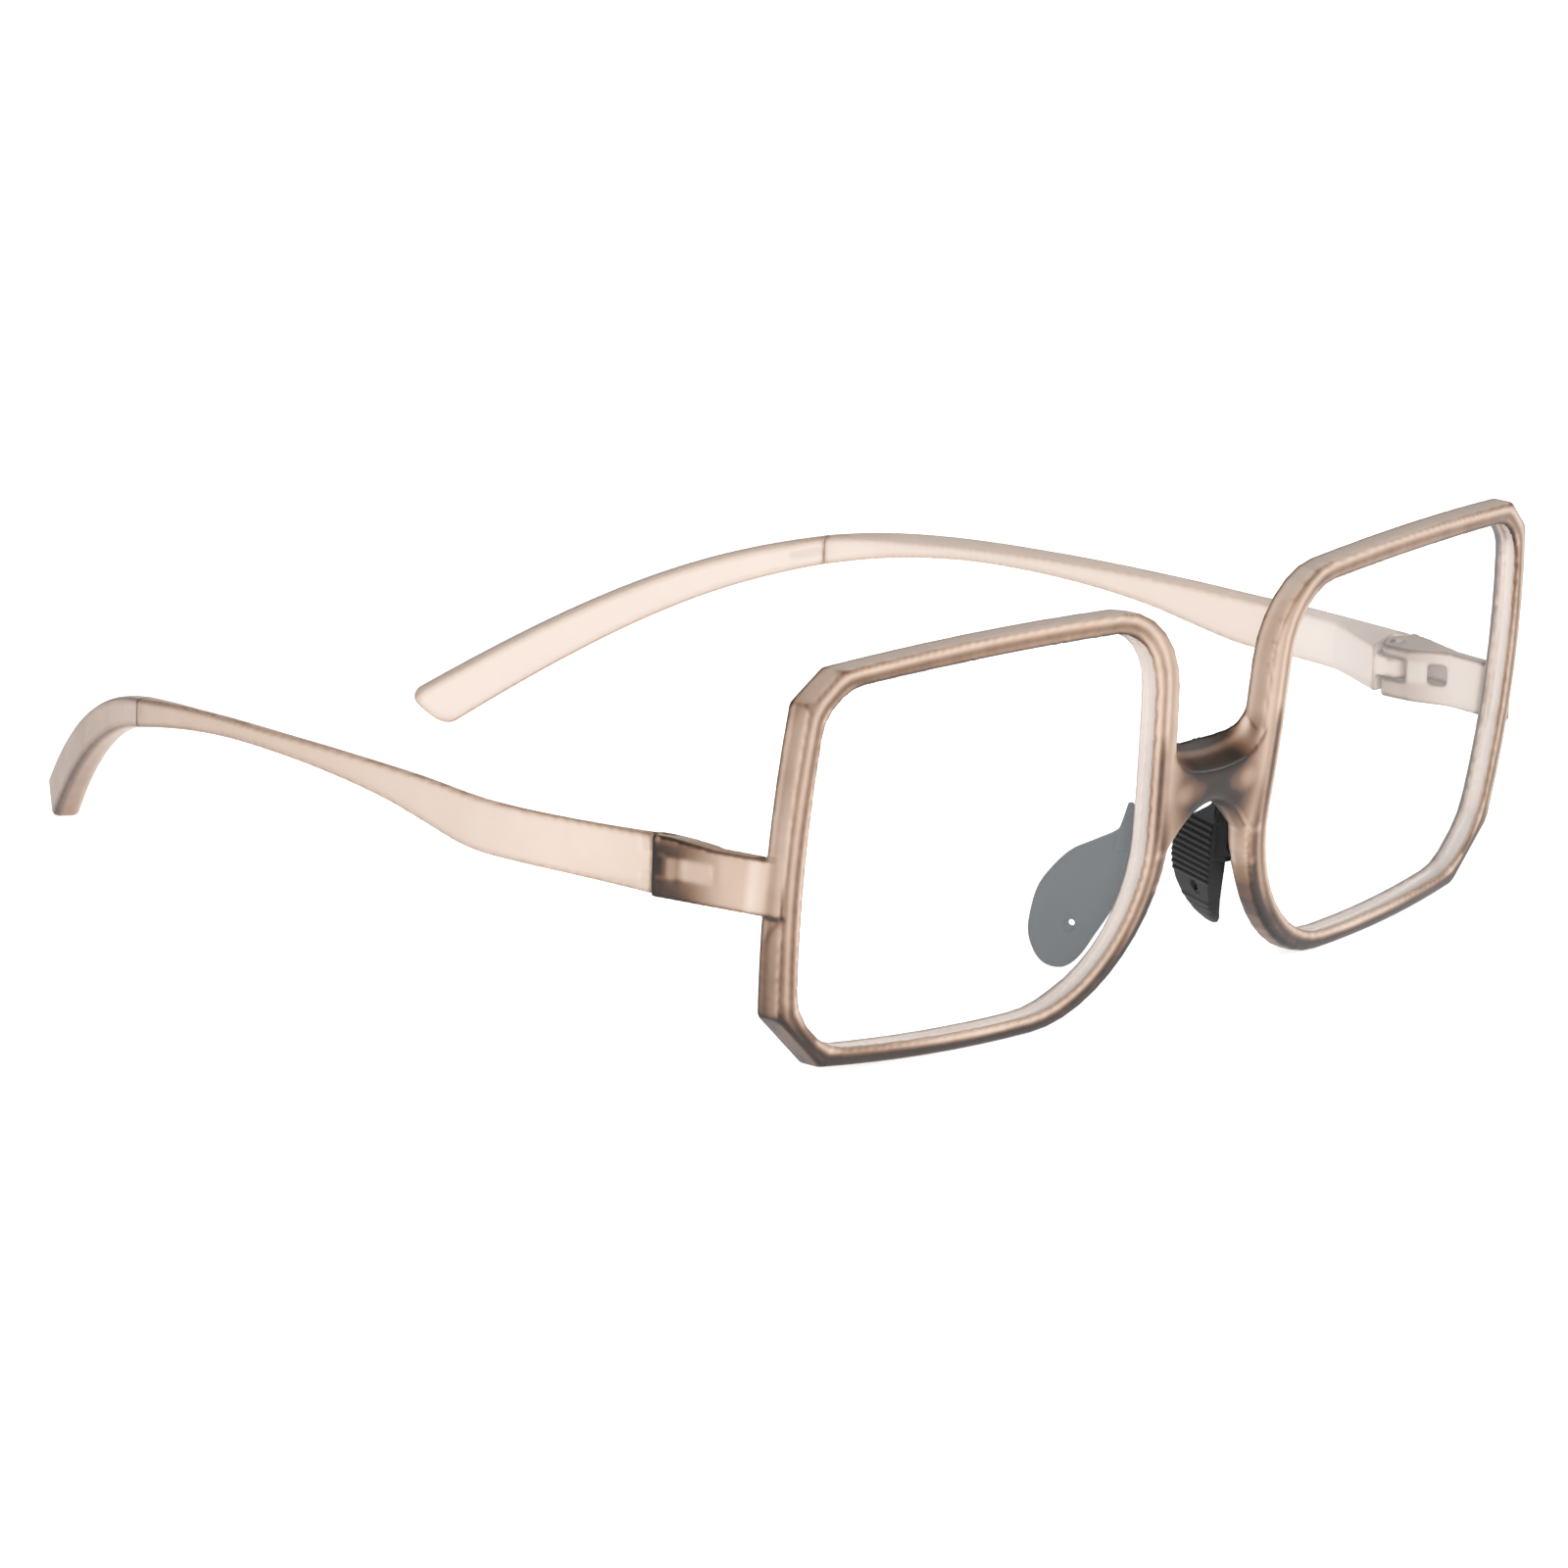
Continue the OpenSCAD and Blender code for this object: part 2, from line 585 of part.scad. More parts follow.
// The temple thickens inwards towards its hinge
function arm_thick(s) =
    max(smooth(arm_t, s), mix(block_t, arm_front_t, (s - block_full) / (block_end - block_full)));
arm_n = 36;
arm_stops = concat([for (i = [0 : 4]) block_full * i / 4],
                   [for (i = [1 : 3]) mix(block_full, block_end, i / 4)],
                   [for (i = [0 : arm_n]) mix(block_end, 1, i / arm_n)]);
function arm_ring(s) =
    let (p = arm_p(s), d = s < block_end ? [0, 1] : arm_dir(s), in = [-d[1], d[0]],
         top = arm_top_z + smooth(arm_top, s), h = smooth(arm_h, s), t = arm_thick(s),
         drop = inner_drop * t * share((1 - s) / block_end))
    [for (q = bar_section(h, t, bar_r, drop))
        [p[0] + in[0] * q[0], p[1] + in[1] * q[0], top - h / 2 + q[1]]];

module arm() {
    difference() {
        union() {
            difference() {
                tube([for (s = arm_stops) arm_ring(s)]);
                // Room for the endpiece's lugs, behind a thin outer skin
                translate([0, seam_y - 1, 0]) cube([skin_x, lug_r + lug_play + 1, rim_h]);
            }
            // Knuckle between the lugs
            translate([pin_x, seam_y, hinge_z - knuckle_h / 2])
            linear_extrude(knuckle_h)
            union() {
                circle(lug_r);
                translate([0.1 - lug_r, 0]) square([seam_x - inner_x - skin_t, lug_r + lug_play + 0.5]);
            }
        }
        translate([pin_x, seam_y, 0]) cylinder(d = pin_d + knuckle_fit, h = rim_h);
    }
}

// Curve of a tip, from the temple's end inwards and down to the rest plane
end_dir = arm_dir(1);
end_out = [end_dir[1], -end_dir[0], 0];
tip_start = concat(arm_p(1), tip_z) - end_out * arm_back_t / 2;
tip_reach = [-tip_in, tip_len, 1.6 - tip_z];
tip_ctrl = [tip_start,
            tip_start + [tip_reach[0] * 0.28, tip_reach[1] * 0.3, tip_reach[2] * 0.13],
            tip_start + [tip_reach[0] * 0.48, tip_reach[1] * 0.55, tip_reach[2] * 0.34],
            tip_start + tip_reach];
tip_slant = 0.36;
tip_swell = 1.2;
// The end is rounded; its rings stand at the steps of a quarter turn
tip_round = 1.8;
tip_full = 1 - tip_round / (3 * norm(tip_ctrl[3] - tip_ctrl[2]));
tip_n = 22;
tip_stops = concat([for (i = [0 : tip_n - 1]) tip_full * i / tip_n],
                   [for (a = [0 : 22.5 : 90]) mix(tip_full, 1, sin(a))]);
function tip_cut(s) = tip_round * (1 - sqrt(1 - pow(share((s - tip_full) / (1 - tip_full)), 2)));
// Share of its length over which the tip's section takes its own direction
tip_turn = 0.15;
core_line = curve(tip_ctrl, tip_turn) - tip_start;
core_dir = core_line / norm(core_line);

// A ring of the tip; towards the end its upper edge runs further back than its lower edge
function raw_ring(s) =
    let (p = curve(tip_ctrl, s), d = curve_dir(tip_ctrl, s), w = min(1, s / tip_turn),
         side = mix(end_out, [d[1], -d[0], 0] / norm([d[1], -d[0], 0]), w), out = side / norm(side),
         up = mix([0, 0, 1], cross(out, d), w),
         h = mix(arm_back_h, tip_h, pow(s, tip_swell)) - 2 * tip_cut(s),
         t = mix(arm_back_t, tip_t, s) - tip_cut(s))
    [for (q = bar_section(h, t, mix(bar_r, tip_bar_r, w)))
        p + out * (t / 2 - q[0]) + (up + d * tip_slant * pow(s, 4)) * q[1]];
// The tip is let down so that its lowest point stands on the rest plane
tip_low = min([for (s = tip_stops, q = raw_ring(s)) s < tip_full ? rim_h : q[2]]);
function tip_ring(s) = [for (q = raw_ring(s)) q - [0, 0, tip_low * pow(min(1, s / tip_full), 2)]];

module tip_body() tube([for (s = tip_stops) tip_ring(s)]);

// Points an axis along a direction
module along(p, d) translate(p) rotate([0, acos(d[2]), atan2(d[1], d[0])]) children();

module temple() {
    color(arm_colour)
    seat() {
        arm();
        along(tip_start - core_dir, core_dir) cylinder(d = core_d, h = core_len + 1);
    }
}

module temple_tip() {
    color(arm_colour)
    seat() difference() {
        tip_body();
        along(tip_start - core_dir, core_dir) cylinder(d = core_d + core_fit, h = core_len + 1.1);
    }
}

module hinge_pin() {
    color(pin_colour)
    seat() translate([pin_x, seam_y, end_z]) cylinder(d = pin_d, h = temple_h - pin_low);
}

// The origin lies under the middle of the glasses
y_front = min([for (r = rim_rings, p = r) p[1]]);
y_back = max([for (s = tip_stops, p = tip_ring(s)) p[1]]);

module seat() translate([0, -(y_front + y_back) / 2, 0]) children();

module other_side() mirror([1, 0, 0]) children();

front_frame();
lens();  // lens_left
other_side() lens();  // lens_right
pad();  // nose_pad_left
other_side() pad();  // nose_pad_right
temple();  // temple_left
other_side() temple();  // temple_right
temple_tip();  // temple_tip_left
other_side() temple_tip();  // temple_tip_right
hinge_pin();  // hinge_pin_left
other_side() hinge_pin();  // hinge_pin_right
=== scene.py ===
# Billiard glasses: frosted moulded frame, clear lenses, black rubber nose pads and steel hinge pins.
import math

import bmesh
import bpy
import numpy as np
from mathutils import Matrix, Vector
from mathutils.bvhtree import BVHTree


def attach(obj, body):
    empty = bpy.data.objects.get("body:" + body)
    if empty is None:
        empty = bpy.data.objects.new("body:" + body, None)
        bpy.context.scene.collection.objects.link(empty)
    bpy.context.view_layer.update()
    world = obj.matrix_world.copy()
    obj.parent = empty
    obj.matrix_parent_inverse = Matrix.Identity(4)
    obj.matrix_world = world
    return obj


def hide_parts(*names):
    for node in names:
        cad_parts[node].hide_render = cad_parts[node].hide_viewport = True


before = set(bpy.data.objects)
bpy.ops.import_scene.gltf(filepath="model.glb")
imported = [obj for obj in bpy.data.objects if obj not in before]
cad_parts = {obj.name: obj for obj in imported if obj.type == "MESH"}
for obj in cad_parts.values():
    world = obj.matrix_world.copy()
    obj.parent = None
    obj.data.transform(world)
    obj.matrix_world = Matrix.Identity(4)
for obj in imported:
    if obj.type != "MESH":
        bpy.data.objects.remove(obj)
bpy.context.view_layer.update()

MM = 0.001
MIRROR = {"left": 1, "right": -1}
SOLID_NODES = ["front_frame"] + [name + side for name in ("temple_", "temple_tip_", "hinge_pin_") for side in MIRROR]


# Camera, floor and light

PHOTO_PX = 1600
FOCAL_PX = 11222.7
SENSOR = 36.0
NEAR_CLIP, FAR_CLIP = 0.01, 50
CAMERA_AT = Vector((-1.0270, -0.87374, 0.35538))
CAMERA_AZIMUTH = math.radians(-50.0)
CAMERA_ELEVATION = math.radians(14.269)
CAMERA_ROLL = math.radians(1.652)

# Each light: name, place, size and power
LIGHTS = [
    ("key_light", (-1.0, -1.2, 0.95), (1.1, 1.1), 25),
    ("side_light", (1.3, -0.9, 0.8), (1.0, 0.8), 11)]
LIGHT_AIM = (0, 0, 0.02)
SKY_TINT = (1.0, 0.995, 0.99, 1)
SKY_STRENGTH = 0.3
FLOOR_HALF = 4
FLOOR_PALE = (0.9, 0.9, 0.9, 1)
FLOOR_GLOW = 0.76


def camera_axes():
    """The camera's right, up and back directions."""
    a, e, r = CAMERA_AZIMUTH, CAMERA_ELEVATION, CAMERA_ROLL
    back = Vector((math.sin(a) * math.cos(e), -math.cos(a) * math.cos(e), math.sin(e)))
    level = Vector((math.cos(a), math.sin(a), 0))
    upright = back.cross(level)
    return level * math.cos(r) + upright * math.sin(r), upright * math.cos(r) - level * math.sin(r), back


def photo_camera():
    data = bpy.data.cameras.new("photo_camera")
    data.sensor_width = SENSOR
    data.lens = FOCAL_PX / PHOTO_PX * SENSOR
    data.clip_start = NEAR_CLIP
    data.clip_end = FAR_CLIP
    cam = bpy.data.objects.new("photo_camera", data)
    bpy.context.scene.collection.objects.link(cam)
    cam.matrix_world = Matrix.Translation(CAMERA_AT) @ Matrix(camera_axes()).transposed().to_4x4()
    bpy.context.scene.camera = cam


def area_light(name, at, size, power):
    data = bpy.data.lights.new(name, "AREA")
    data.shape = "RECTANGLE"
    data.size, data.size_y = size
    data.energy = power
    lamp = bpy.data.objects.new(name, data)
    lamp.location = at
    lamp.rotation_mode = "QUATERNION"
    lamp.rotation_quaternion = (Vector(LIGHT_AIM) - Vector(at)).to_track_quat("-Z", "Y")
    bpy.context.scene.collection.objects.link(lamp)


def sky():
    world = bpy.data.worlds.new("studio")
    world.use_nodes = True
    background = world.node_tree.nodes["Background"]
    background.inputs["Color"].default_value = SKY_TINT
    background.inputs["Strength"].default_value = SKY_STRENGTH
    bpy.context.scene.world = world
    bpy.context.scene.view_settings.view_transform = "Standard"


def studio_floor():
    corners = [(x * FLOOR_HALF, y * FLOOR_HALF, 0) for x, y in ((-1, -1), (1, -1), (1, 1), (-1, 1))]
    mesh = bpy.data.meshes.new("studio_floor")
    mesh.from_pydata(corners, [], [(0, 1, 2, 3)])
    mesh.update()
    mesh.materials.append(floor_material())
    floor = bpy.data.objects.new("studio_floor", mesh)
    bpy.context.scene.collection.objects.link(floor)


def studio():
    sky()
    for light in LIGHTS:
        area_light(*light)
    studio_floor()


# Shader maths


class Socket:
    """An output socket that takes part in Python arithmetic."""

    def __init__(self, material, out):
        self.material = material
        self.out = out

    def math(self, operation, other):
        return self.material.node("ShaderNodeMath", {"operation": operation}, [self, other])

    def __add__(self, other):
        return self.math("ADD", other)

    __radd__ = __add__

    def __mul__(self, other):
        return self.math("MULTIPLY", other)

    __rmul__ = __mul__


# The Mix node's sockets for colours
MIX_FACTOR, MIX_A, MIX_B = 0, 6, 7
MIX_RESULT = 2


class Material:
    """A material whose nodes are all made through node()."""

    def __init__(self, name):
        self.material = bpy.data.materials.new(name)
        self.material.use_nodes = True
        self.nodes = self.material.node_tree.nodes
        self.links = self.material.node_tree.links
        self.shader = self.nodes["Principled BSDF"]

    def node(self, kind, settings=None, inputs=(), output=0):
        """Makes a node, sets it up, and feeds its sockets with values or links."""
        made = self.nodes.new(kind)
        for key, value in (settings or {}).items():
            if key == "stops":
                self.set_stops(made.color_ramp, value)
            else:
                setattr(made, key, value)
        pairs = inputs.items() if isinstance(inputs, dict) else enumerate(inputs)
        for key, value in pairs:
            self.feed(made.inputs[key], value)
        return Socket(self, made.outputs[output])

    def set_stops(self, ramp, stops):
        while len(ramp.elements) < len(stops):
            ramp.elements.new(0.5)
        for element, (place, colour) in zip(ramp.elements, stops):
            element.position = place
            element.color = colour

    def feed(self, socket, value):
        if isinstance(value, Socket):
            self.links.new(value.out, socket)
        else:
            socket.default_value = value

    def surface(self, **values):
        """Feeds the shader's sockets, named with underscores for spaces."""
        for key, value in values.items():
            self.feed(self.shader.inputs[key.replace("_", " ")], value)

    def stored(self, name):
        """A number kept on the mesh's points."""
        return self.node("ShaderNodeAttribute", {"attribute_name": name}, output="Fac")

    def noise(self, scale, detail):
        place = self.node("ShaderNodeTexCoord", output="Object")
        return self.node("ShaderNodeTexNoise", {}, {"Vector": place, "Scale": scale, "Detail": detail}, output="Fac")

    def ramp(self, value, stops):
        return self.node("ShaderNodeValToRGB", {"stops": stops}, [value])

    def mix(self, factor, a, b):
        sockets = {MIX_FACTOR: factor, MIX_A: a, MIX_B: b}
        return self.node("ShaderNodeMix", {"data_type": "RGBA"}, sockets, output=MIX_RESULT)

    def bump(self, height, strength, distance):
        return self.node("ShaderNodeBump", {}, {"Strength": strength, "Distance": distance, "Height": height})


def shade(*levels):
    """A linear colour from its levels on the screen, between 11 and 255."""
    return tuple(((v / 255 + 0.055) / 1.055) ** 2.4 for v in levels) + (1,)


def varied(span, noise):
    """A span is its lowest value and what the noise adds at most."""
    lowest, more = span
    return lowest + more * noise


# Materials. Each noise is its scale, in waves to the metre, and its detail. Each span is used by varied().

PLASTIC_IOR = 1.5
GRAIN_HEIGHT = 0.00002

# Colour of the nylon by the length of plastic behind the surface, in millimetres; painted shade and painted light are
# stored as more or less of that length
DEEPEST = 8.0
NYLON_TONES = [
    (0.6, shade(243, 230, 221)),
    (1.6, shade(230, 213, 200)),
    (2.3, shade(219, 197, 180)),
    (3.0, shade(198, 172, 154)),
    (3.8, shade(165, 136, 114)),
    (4.7, shade(120, 88, 68)),
    (5.8, shade(50, 37, 30)),
    (7.8, shade(14, 12, 11))]
# Painted shade along creases and sharp edges, in millimetres of plastic
CREASE_SHADE = 1.9
FRAME_DENSITY = 1.0
ARM_DENSITY = 0.7
NYLON_CLOUD = (140, 3)
NYLON_GRAIN = (5200, 2)
NYLON_SWIRL = (260, 2)
NYLON_DEPTH_SPAN = (0.9, 0.2)
NYLON_ROUGH_SPAN = (0.3, 0.12)
NYLON_GRAIN_STRENGTH = 0.25

LENS_TINT = (0.86, 0.93, 0.97, 1)
LENS_FILM = (35, 2)
LENS_ROUGH_SPAN = (0.02, 0.03)
LENS_ALPHA_SPAN = (0.06, 0.03)

RUBBER_DARK = (0.003, 0.003, 0.0035, 1)
RUBBER_PALE = (0.012, 0.012, 0.014, 1)
RUBBER_GRAIN = (3000, 3)
RUBBER_ROUGH_SPAN = (0.45, 0.2)
RUBBER_GRAIN_STRENGTH = 0.1

STEEL_DARK = (0.55, 0.54, 0.52, 1)
STEEL_PALE = (0.72, 0.71, 0.69, 1)
STEEL_GRAIN = (1500, 3)
STEEL_ROUGH_SPAN = (0.25, 0.2)


def floor_material():
    m = Material("studio_floor")
    m.surface(
        Base_Color=FLOOR_PALE,
        Roughness=0.8,
        Specular_IOR_Level=0.1,
        Emission_Color=(1, 1, 1, 1),
        Emission_Strength=FLOOR_GLOW)
    return m.material


def nylon(name, density):
    """Frosted translucent moulded nylon: it goes browner and darker where more plastic lies behind the surface or
    where painted shade is stored with that length, and paler where painted light is.
    """
    m = Material(name)
    # Plastic length with painted shade and painted light added, then painted shade along the creases
    shaded_thickness = m.stored("depth") * density * varied(NYLON_DEPTH_SPAN, m.noise(*NYLON_SWIRL))
    depth = shaded_thickness + m.stored("crease") * CREASE_SHADE
    m.surface(
        Base_Color=m.ramp(depth * (1 / DEEPEST), [(place / DEEPEST, colour) for place, colour in NYLON_TONES]),
        Roughness=varied(NYLON_ROUGH_SPAN, m.noise(*NYLON_CLOUD)),
        IOR=PLASTIC_IOR,
        Specular_IOR_Level=0.26,
        Transmission_Weight=0.35,
        Normal=m.bump(m.noise(*NYLON_GRAIN), NYLON_GRAIN_STRENGTH, GRAIN_HEIGHT))
    return m.material


def clear_lens():
    m = Material("clear_lens")
    film = m.noise(*LENS_FILM)
    m.surface(
        Base_Color=LENS_TINT,
        Roughness=varied(LENS_ROUGH_SPAN, film),
        IOR=PLASTIC_IOR,
        Alpha=varied(LENS_ALPHA_SPAN, film))
    return m.material


def pad_rubber():
    m = Material("pad_rubber")
    grain = m.noise(*RUBBER_GRAIN)
    m.surface(
        Base_Color=m.mix(grain, RUBBER_DARK, RUBBER_PALE),
        Roughness=varied(RUBBER_ROUGH_SPAN, grain),
        Specular_IOR_Level=0.22,
        Normal=m.bump(grain, RUBBER_GRAIN_STRENGTH, GRAIN_HEIGHT))
    return m.material


def pin_steel():
    m = Material("pin_steel")
    grain = m.noise(*STEEL_GRAIN)
    m.surface(
        Base_Color=m.mix(grain, STEEL_DARK, STEEL_PALE),
        Metallic=1.0,
        Roughness=varied(STEEL_ROUGH_SPAN, grain))
    return m.material


# Mesh helpers, all in millimetres


def rows(items, name, width, kind):
    """One row of numbers for each vertex or edge."""
    values = np.empty(len(items) * width, kind)
    items.foreach_get(name, values)
    return values.reshape(-1, width)


def mesh_points(mesh):
    return rows(mesh.vertices, "co", 3, np.float32).astype(float)


def mesh_edges(mesh):
    return rows(mesh.edges, "vertices", 2, np.int32)


def node_points(node):
    return [v.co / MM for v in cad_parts[node].data.vertices]


def solid_tree(nodes):
    """The faces of several solids, for finding what lies behind or near a point."""
    points, faces = [], []
    for node in nodes:
        first = len(points)
        points += node_points(node)
        faces += [[first + i for i in face.vertices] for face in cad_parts[node].data.polygons]
    return BVHTree.FromPolygons(points, faces)


def remeshed(node, name, voxel, smoothings, add=None):
    """A copy of a solid, remeshed finely and smoothed; add() may put more faces on it first."""
    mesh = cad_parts[node].data.copy()
    mesh.transform(Matrix.Scale(1 / MM, 4))
    if add:
        add(mesh)
    piece = bpy.data.objects.new(name, mesh)
    bpy.context.scene.collection.objects.link(piece)
    remesh = piece.modifiers.new("remesh", "REMESH")
    remesh.mode = "VOXEL"
    remesh.voxel_size = voxel
    smooth = piece.modifiers.new("smooth", "SMOOTH")
    smooth.iterations = smoothings
    graph = bpy.context.evaluated_depsgraph_get()
    result = bpy.data.meshes.new_from_object(piece.evaluated_get(graph))
    piece.modifiers.clear()
    piece.data = result
    result.shade_smooth()
    result.materials.clear()
    return piece


def neighbour_mean(values, ends):
    """Mean of each vertex's neighbours; values has one row for each vertex."""
    count = len(values)
    near = np.bincount(ends.ravel(), minlength=count)
    total = [
        np.bincount(ends[:, 0], weights=column[ends[:, 1]], minlength=count)
        + np.bincount(ends[:, 1], weights=column[ends[:, 0]], minlength=count) for column in values.T]
    return np.stack(total, axis=1) / np.maximum(near, 1)[:, None]


def blurred(values, ends, rounds):
    for _ in range(rounds):
        values = (values + neighbour_mean(values, ends)) / 2
    return values


def share(values, none, full):
    """0 where a value is at none, 1 where it is at full and straight between."""
    return np.clip((values - none) / (full - none), 0, 1)


def hump(values, middle, half):
    """1 at the middle, falling smoothly to 0 at half a width from it."""
    return np.clip(1 - ((values - middle) / half) ** 2, 0, 1)


def humps(values, table):
    """Sum of humps, each with its strength, middle and half width."""
    return sum(strength * hump(values, middle, half) for strength, middle, half in table)


# What a moulding's surface is like at each point

# A line runs inwards from START_OUT over the surface, REACH far at most, and goes on NUDGE past each face it meets
REACH = 8.0
START_OUT = 0.3
NUDGE = 0.002
# Rounds of blurring, and the bends that count as no crease and as a full one
BEND_BLUR = 2
DEPTH_BLUR = 6
CREASE_BLUR = 1
CREASE_FLAT = 0.14
CREASE_FULL = 0.45
# Middle of the hinge pins, seen from the side
PIN_Y, PIN_Z = -54.03, 25.5


def plastic_behind(tree, at, way):
    """Length of plastic that a straight line crosses."""
    layers, length, gone = 0, 0.0, 0.0
    while gone < REACH:
        hit, normal, _, step = tree.ray_cast(at, way, REACH - gone)
        if hit is None:
            return length + (REACH - gone if layers > 0 else 0)
        if layers > 0:
            length += step
        layers = max(0, layers + (1 if normal.dot(way) < 0 else -1))
        gone += step + NUDGE
        at = hit + way * NUDGE
    return length


class Surface:
    """The points of a moulding, which way they face and how much plastic lies behind them."""

    def __init__(self, mesh, tree):
        self.points = mesh_points(mesh)
        self.normals = rows(mesh.vertices, "normal", 3, np.float32).astype(float)
        self.ends = mesh_edges(mesh)
        starts = self.points + self.normals * START_OUT
        self.depth = np.array([plastic_behind(tree, Vector(p), Vector(-n)) for p, n in zip(starts, self.normals)])
        self.x, self.y, self.z = np.abs(self.points[:, 0]), self.points[:, 1], self.points[:, 2]
        self.behind_pin, self.off_pin = self.y - PIN_Y, np.abs(self.z - PIN_Z)
        self.outward = self.normals[:, 0] * np.sign(self.points[:, 0])
        self.inward = -self.outward
        self.backward, self.forward = self.normals[:, 1], -self.normals[:, 1]
        self.up, self.down = self.normals[:, 2], -self.normals[:, 2]
        self.sideways, self.fore_and_aft, self.up_or_down = np.abs(self.normals).T

    def crease(self):
        """How sharply the surface bends, from 0 to 1."""
        step = np.linalg.norm(self.points[self.ends[:, 0]] - self.points[self.ends[:, 1]], axis=1).mean()
        lift = (neighbour_mean(self.points, self.ends) - self.points) * self.normals
        bend = blurred(lift.sum(axis=1, keepdims=True) / step ** 2, self.ends, BEND_BLUR)
        return share(np.abs(bend), CREASE_FLAT, CREASE_FULL)

    def find_lens(self):
        """How far each point lies behind the lenses' middle, outwards from their edge, and from the lenses."""
        self.behind = LENSES.behind(self.points)
        self.off_middle = np.abs(self.behind)
        gap = self.points - LENSES.nearest(self.points)
        self.across = np.hypot(gap[:, 0], gap[:, 2])
        self.to_lens = np.linalg.norm(gap, axis=1)


class Lenses:
    """Both lenses' faces, and their middle surface as a fitted smooth sheet that gives y from x and z."""

    SCALE_X = 1000
    SCALE_Z = 10

    def __init__(self):
        nodes = ["lens_" + side for side in MIRROR]
        self.tree = solid_tree(nodes)
        points = np.array([p for node in nodes for p in node_points(node)])
        self.sheet = np.linalg.lstsq(self.terms(points), points[:, 1], rcond=None)[0]

    def terms(self, points):
        x, z = points[:, 0] ** 2 / self.SCALE_X, points[:, 2] / self.SCALE_Z
        return np.stack([np.ones(len(x)), x, x * x, z, z * z, x * z], axis=1)

    def behind(self, points):
        return points[:, 1] - self.terms(points) @ self.sheet

    def nearest(self, points):
        return np.array([tuple(self.tree.find_nearest(Vector(p))[0]) for p in points])


def store(mesh, name, values):
    mesh.attributes.new(name, "FLOAT", "POINT").data.foreach_set("value", values.astype(np.float32).ravel())


def tone(s, strength, *spans):
    """A strength times its share of each span; a span is a measure of the surface, where none and where full."""
    for measure, none, full in spans:
        strength = strength * share(getattr(s, measure), none, full)
    return strength


def evened(depth, most, rest):
    """A depth that counts in full up to a limit and little past it."""
    return np.minimum(depth, most) + rest * np.maximum(depth - most, 0)


# Tones of the front, as tone() takes them, with strengths in millimetres of plastic; many of them are painted shade
# or painted light

FACING = ("forward", 0.4, 0.8)
EDGE_ON = ("fore_and_aft", 0.6, 0.3)
OUTER = ("across", 0.2, 0.5)
INNER = ("across", 0.5, 0.2)
BESIDE_NOSE = ("x", 20, 15)

RIM_EVEN = (3.3, 0.3)
RIM_DENSITY = 0.8
RIM_ONLY = (1, ("x", 72, 71), ("behind", 3.6, 3.0))
# Painted shade under the rims, taken off where they arch over the nose
UNDERSIDE_SHADE = (3.0, ("down", -0.05, 0.6))
NOSE_ARCH = (1, ("z", 12, 17), ("x", 18, 14))
# Painted shade along the rims' back edge
BACK_EDGE_SHADE = (2.4, ("behind", 1.25, 1.7), ("backward", 0.85, 0.5))
# Painted shade in a band on the rims' sides
SIDE_SHADE_BAND = (1.4, ("sideways", 0.5, 0.8), EDGE_ON, OUTER, ("off_middle", 1.1, 0.6))
# Painted shade low on the rims' front
LOW_FRONT_SHADE = (2.1, ("across", 0.3, 1.1), ("z", 11, 7), FACING)
# The lens's edge and its groove show through the front: strength, distance from the lens's edge and half width
FRONT_LINES = [(1.45, 0.6, 0.5), (-0.8, 1.35, 0.4), (-0.5, 0, 0.2), (0.9, 2.0, 0.45)]

# The walls round the lens and the groove beside it have painted light on them, with a brown line along the walls'
# back and front edges
WALL = (1, INNER, EDGE_ON)
WALL_LIGHT = 1.5
WALL_LINES = [(3.2, 1.8, 0.5), (2.2, -0.95, 0.3)]
GROOVE_LIGHT = (1.8, ("to_lens", 0.3, 0.12))

# The thin line on the rim's outer side, which swings forward under the endpiece
ARCH = (1.8, ("outward", 0.5, 0.8), ("z", 6.0, 8.0), ("z", 22.5, 21.5), ("x", 60, 64))
ARCH_BEHIND = 1.0
ARCH_SWING = 2.6
ARCH_TURN = (18.0, 21.5)
ARCH_HALF = 0.3

# Beside the nose: painted light on the walls, the shade of the pad behind the rim and that of the bridge's root
NOSE_WALL_LIGHT = (1.0, ("inward", 0.2, 0.7), ("x", 20, 16))
PAD_SHADE = (2.0, BESIDE_NOSE, FACING, ("z", 5, 11), ("z", 27, 20))
PAD_SHADE_LINE = (2.2, 1.1)
ROOT_SHADE = (1.9, BESIDE_NOSE, FACING, ("z", 13, 27), ("z", 35.5, 33.0))
ROOT_SHADE_LINE = (0.9, 0.95)

# The bridge is dark in the middle, with a soft painted highlight on each side
BRIDGE = (3.6, ("z", 17, 25), ("z", 35, 32.5))
BRIDGE_FRONT = (1, ("x", 9.6, 4.0), ("up", 0.7, 0.3))
BRIDGE_TOP = (0.75, ("x", 9.5, 4.0), ("up", 0.3, 0.7))
BRIDGE_GLINT = (1.7, FACING)
GLINT_X, GLINT_Z = 4.6, 27.0
GLINT_HALF_X, GLINT_HALF_Z = 3.4, 2.0

# The endpiece is an even plate, darker outside the knuckle, with painted light on its inner faces
ENDPIECE = (1, ("x", 69, 70.5), ("behind", 3.0, 3.8))
PLATE_LEAST = 1.7
PLATE_MORE = 0.8
PLATE_MOST = 3.0
PLATE_EDGE = 0.5
PLATE_INSIDE_LIGHT = (0.6, ("inward", 0.3, 0.6))
KNUCKLE = (0.9, ("behind_pin", -4.4, -3.6), ("off_pin", 1.9, 1.3), ("outward", 0.3, 0.6))

